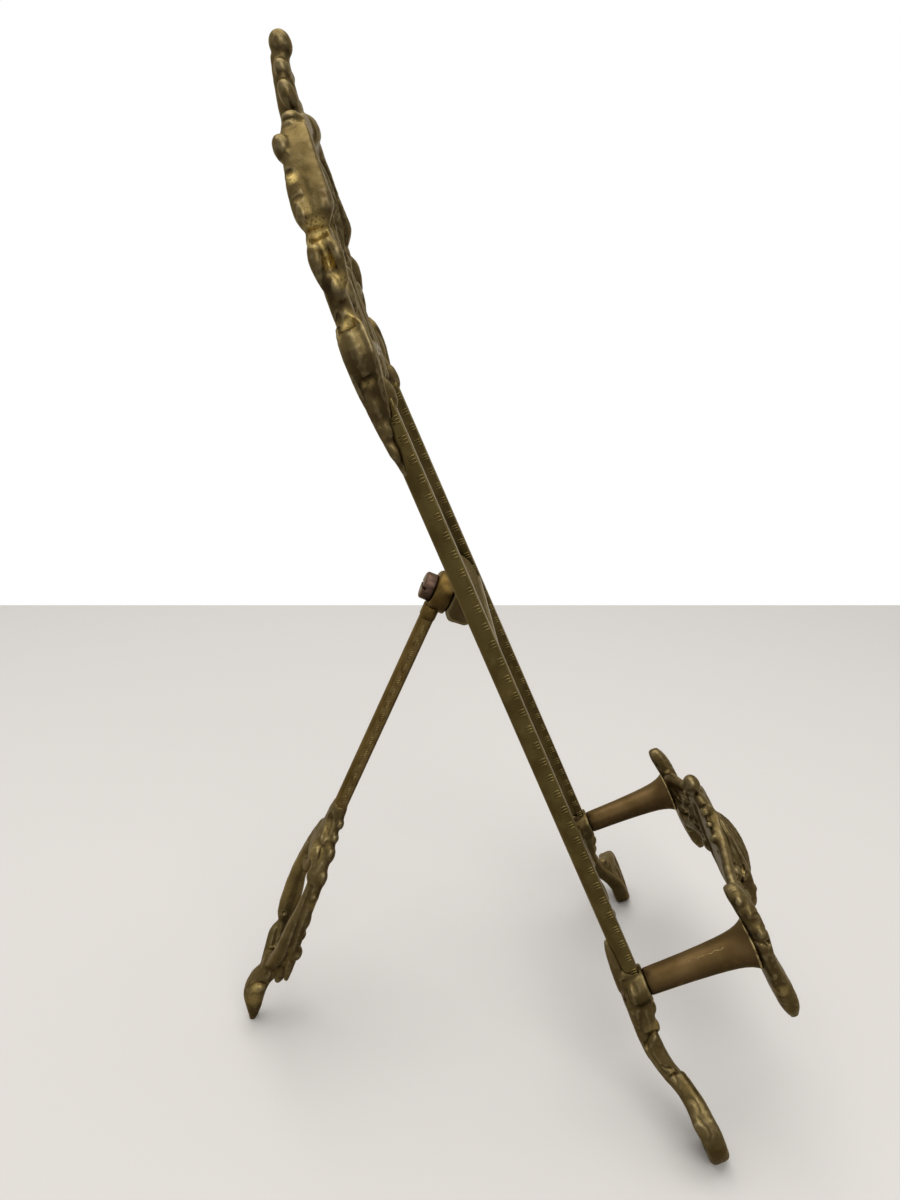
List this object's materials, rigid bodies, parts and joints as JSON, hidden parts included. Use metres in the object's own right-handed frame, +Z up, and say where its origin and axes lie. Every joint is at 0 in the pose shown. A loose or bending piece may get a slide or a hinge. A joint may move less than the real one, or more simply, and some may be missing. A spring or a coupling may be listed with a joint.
{
  "type": "book stand",
  "caption": "Leaning table stand for a book or plate, in cast brass: pierced scroll crest, milled rails, turned arms under a pierced front gallery and a swivelling rear leg.",
  "frame": {"origin": "middle of the bounding box's underside, on the table", "axes": "+Z up, -Y towards the reader, +X to the reader's right"},
  "size_m": [0.1564, 0.2052, 0.3504],
  "materials": {
    "cast_brass": "aged cast brass, dark in the hollows and worn bright on the ridges",
    "milled_brass": "dark brown patina with brighter raised ribs",
    "turned_brass": "smooth, semi-gloss brown patina",
    "browned_steel": "dark, rust-browned steel"
  },
  "bodies": {
    "frame": {"apron": "cast_brass", "arm_screws": "browned_steel", "crest": "cast_brass", "cross_bar": "cast_brass", "gallery": "cast_brass", "left_arm": "turned_brass", "left_foot": "cast_brass", "left_rail": "milled_brass", "pivot_screw": "browned_steel", "right_arm": "turned_brass", "right_foot": "cast_brass", "right_rail": "milled_brass"},
    "leg": {"rear_strut": "milled_brass", "rear_foot": "cast_brass"}
  },
  "joints": [
    {"name": "leg_swivel", "type": "hinge", "parent": "frame", "child": "leg", "pos_m": [0, 0.01875, 0.18002], "axis": [0, 0.9135, 0.4067], "range_deg": [-90, 90]}
  ]
}
